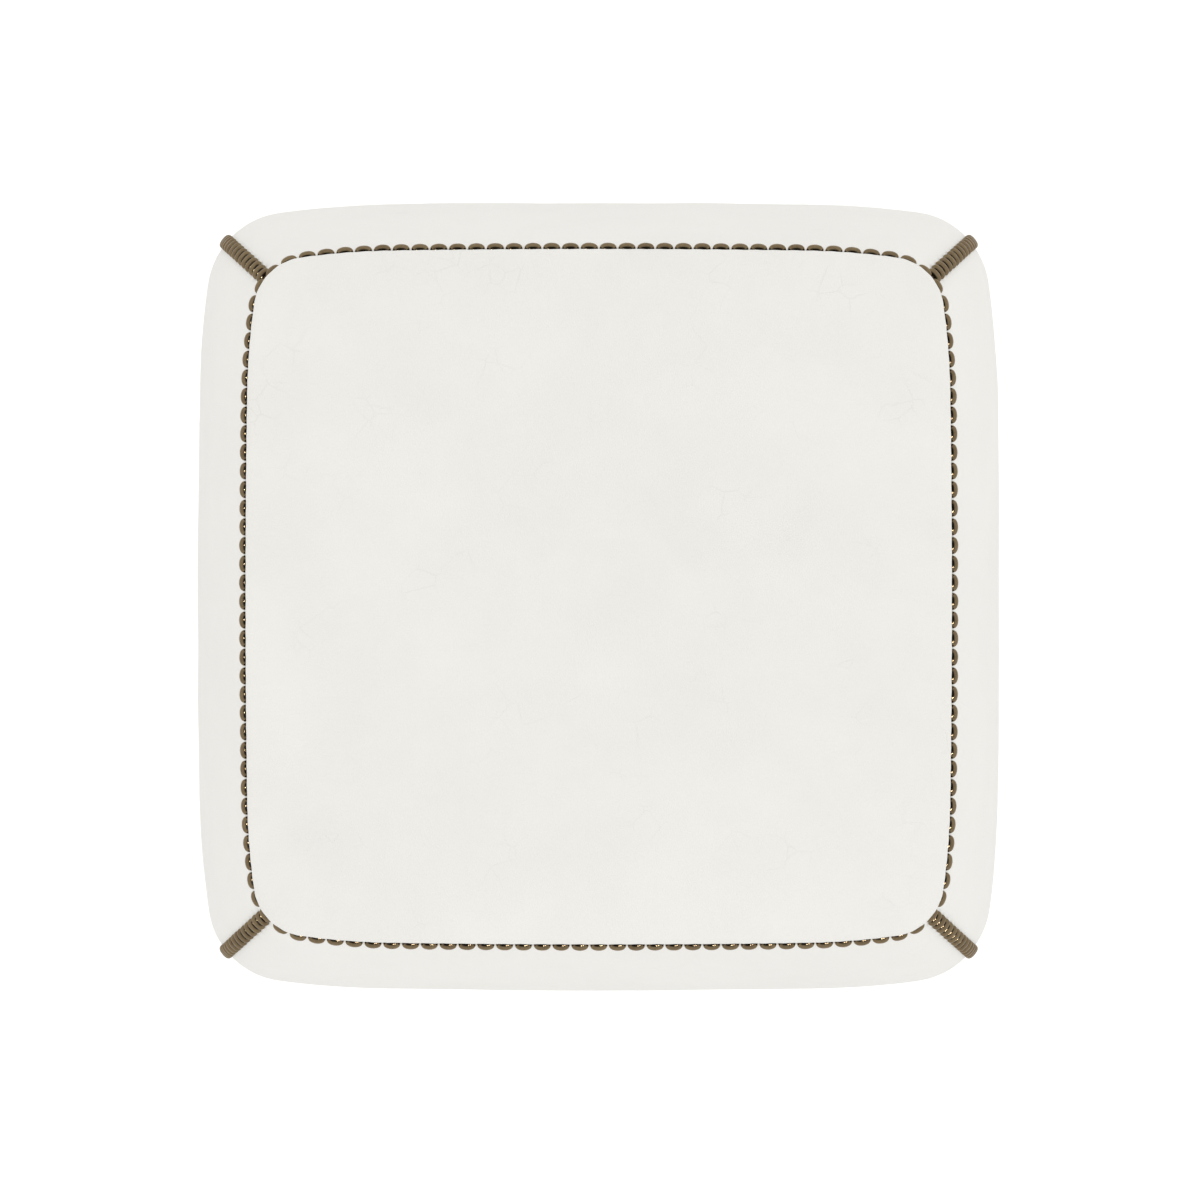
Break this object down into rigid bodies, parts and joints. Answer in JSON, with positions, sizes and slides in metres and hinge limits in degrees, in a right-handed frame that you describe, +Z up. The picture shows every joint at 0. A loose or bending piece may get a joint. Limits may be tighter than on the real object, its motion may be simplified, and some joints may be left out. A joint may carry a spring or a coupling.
{
  "type": "upholstered footstool",
  "caption": "Barrel-sided leather footstool with a low-crowned seat, nailhead trim round the top edge and down the corners, on low glides.",
  "frame": {"origin": "on the floor under the middle of the footstool", "axes": "+Z up from the floor to the seat, the front faces -Y, +X to its right seen from the front"},
  "size_m": [0.558, 0.549, 0.457],
  "materials": {
    "side_leather": "smooth semi-matt off-white leather",
    "seat_leather": "fine-grained semi-matt off-white leather",
    "nail_bronze": "antique bronze, worn",
    "plywood": "sawn birch plywood",
    "hardwood": "sawn poplar",
    "fibreboard": "smooth bending fibreboard",
    "foam": "open-cell foam",
    "wadding": "polyester wadding",
    "dust_cloth": "black non-woven cloth",
    "glide_plastic": "dark nylon",
    "steel": "zinc-plated steel"
  },
  "bodies": {
    "root": {"base_panel": "plywood", "battens_back": "hardwood", "battens_front": "hardwood", "battens_left": "hardwood", "battens_right": "hardwood", "corner_nails_back_left": "nail_bronze", "corner_nails_back_right": "nail_bronze", "corner_nails_front_left": "nail_bronze", "corner_nails_front_right": "nail_bronze", "corner_post_back_left": "hardwood", "corner_post_back_right": "hardwood", "corner_post_front_left": "hardwood", "corner_post_front_right": "hardwood", "dust_cover": "dust_cloth", "frame_screws": "steel", "glide_back_left": "glide_plastic", "glide_back_right": "glide_plastic", "glide_front_left": "glide_plastic", "glide_front_right": "glide_plastic", "glide_screws": "steel", "ribs_back": "plywood", "ribs_front": "plywood", "ribs_left": "plywood", "ribs_right": "plywood", "seat_foam": "foam", "seat_leather": "seat_leather", "seat_wadding": "wadding", "side_board_back": "fibreboard", "side_board_front": "fibreboard", "side_board_left": "fibreboard", "side_board_right": "fibreboard", "side_foam_back": "foam", "side_foam_front": "foam", "side_foam_left": "foam", "side_foam_right": "foam", "side_leather_back": "side_leather", "side_leather_front": "side_leather", "side_leather_left": "side_leather", "side_leather_right": "side_leather", "staples": "steel", "top_deck": "plywood", "top_nails": "nail_bronze"}
  },
  "joints": []
}
